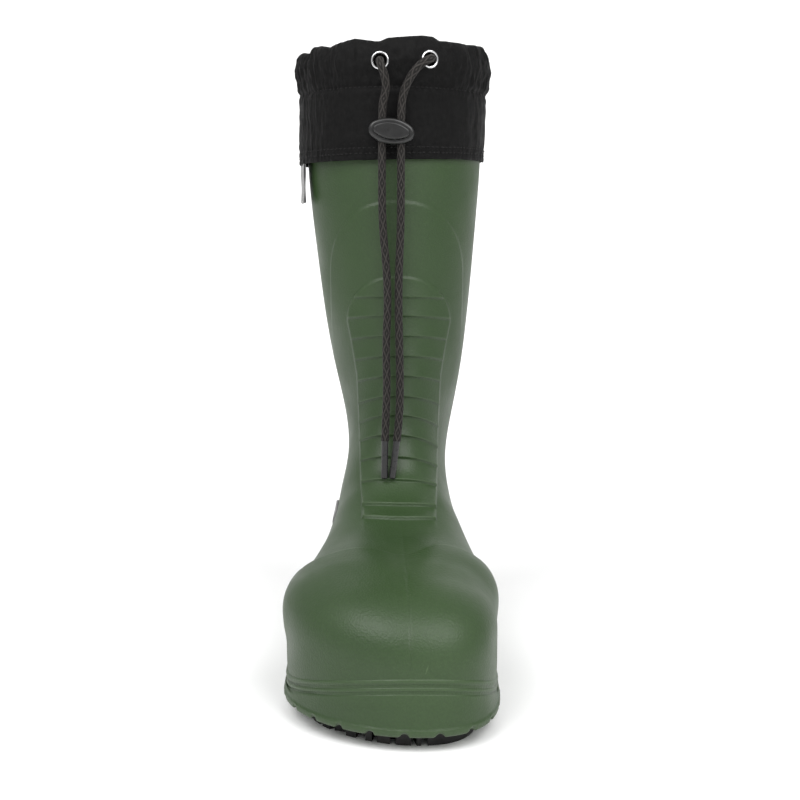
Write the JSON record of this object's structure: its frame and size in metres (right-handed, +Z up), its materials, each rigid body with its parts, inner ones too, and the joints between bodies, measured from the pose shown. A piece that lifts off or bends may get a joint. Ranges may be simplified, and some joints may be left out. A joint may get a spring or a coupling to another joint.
{
  "type": "insulated hunting boot",
  "caption": "Right insulated hunting boot: moulded shell, removable layered liner, nylon snow collar with drawcord and cord lock, rubber outsole pads.",
  "frame": {"origin": "on the ground, below the middle of the boot's length and width", "axes": "+Z up, -Y towards the toe, +X towards the medial side (a right boot)"},
  "size_m": [0.1308, 0.3225, 0.397],
  "materials": {
    "shell_green": "satin",
    "outsole_rubber": "matte",
    "felt": "matte",
    "foil": "satin",
    "pile": "matte",
    "webbing": "matte",
    "footbed_foam": "matte",
    "collar_nylon": "matte",
    "lining_nylon": "satin",
    "thread": "matte",
    "eyelet_metal": "polished",
    "washer_metal": "satin",
    "cord_braid": "matte",
    "tip_plastic": "satin",
    "lock_plastic": "satin",
    "spring_steel": "bright",
    "label_cloth": "matte",
    "badge_rubber": "satin"
  },
  "bodies": {
    "boot": {"shell": "shell_green", "outsole_forefoot": "outsole_rubber", "outsole_heel": "outsole_rubber", "liner_felt": "felt", "liner_foil": "foil", "liner_pile": "pile", "liner_binding": "webbing", "liner_pull_loop": "webbing", "footbed": "footbed_foam", "collar_outer": "collar_nylon", "collar_lining": "lining_nylon", "collar_hem_stitching": "thread", "channel_stitching": "thread", "eyelet_left": "eyelet_metal", "eyelet_right": "eyelet_metal", "eyelet_washer_left": "washer_metal", "eyelet_washer_right": "washer_metal", "drawcord_in_hem": "cord_braid", "cord_left": "cord_braid", "cord_right": "cord_braid", "cord_tip_left": "tip_plastic", "cord_tip_right": "tip_plastic", "ankle_badge": "badge_rubber"},
    "cord_lock": {"lock_body": "lock_plastic", "lock_spring": "spring_steel"},
    "lock_push_button": {"lock_button": "lock_plastic"},
    "side_label": {"label_tab": "label_cloth"}
  },
  "joints": [
    {"name": "lock_slide", "type": "slide", "parent": "boot", "child": "cord_lock", "axis": [0, 0, 1], "range_m": [-0.045, 0.006]},
    {"name": "button_press", "type": "slide", "parent": "cord_lock", "child": "lock_push_button", "axis": [0, 1, 0], "range_m": [0, 0.0032], "stiffness_N_per_m": 700, "springref_m": -0.002, "deforming": ["lock_spring"]},
    {"name": "label_flap", "type": "hinge", "parent": "boot", "child": "side_label", "pos_m": [-0.0606, 0.072, 0.3203], "axis": [-0.139, 0.9903, 0], "range_deg": [0, 50]}
  ]
}
